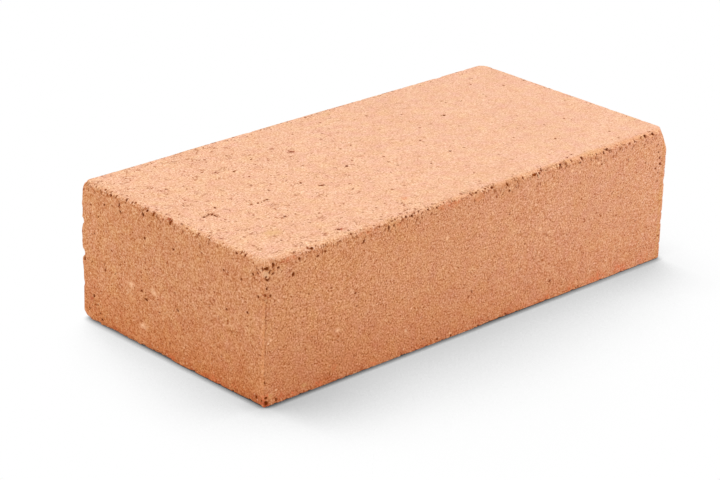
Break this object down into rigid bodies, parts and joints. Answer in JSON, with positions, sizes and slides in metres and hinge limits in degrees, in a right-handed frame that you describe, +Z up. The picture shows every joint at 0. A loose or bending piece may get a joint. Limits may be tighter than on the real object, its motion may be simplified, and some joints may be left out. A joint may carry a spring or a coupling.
{
  "type": "clay brick",
  "caption": "Solid rectangular fired-clay building brick with flat bed faces, worn arrises and lightly knocked corners.",
  "frame": {"origin": "centre of the lower bed face, on the plane that the brick rests on", "axes": "+X along the length towards one header face, +Y across the width towards the back stretcher face, +Z up through the height to the upper bed face"},
  "size_m": [0.25, 0.12, 0.065],
  "materials": {
    "fired_clay": "matte, fine-grained and slightly porous"
  },
  "bodies": {
    "root": {"brick": "fired_clay"}
  },
  "joints": []
}
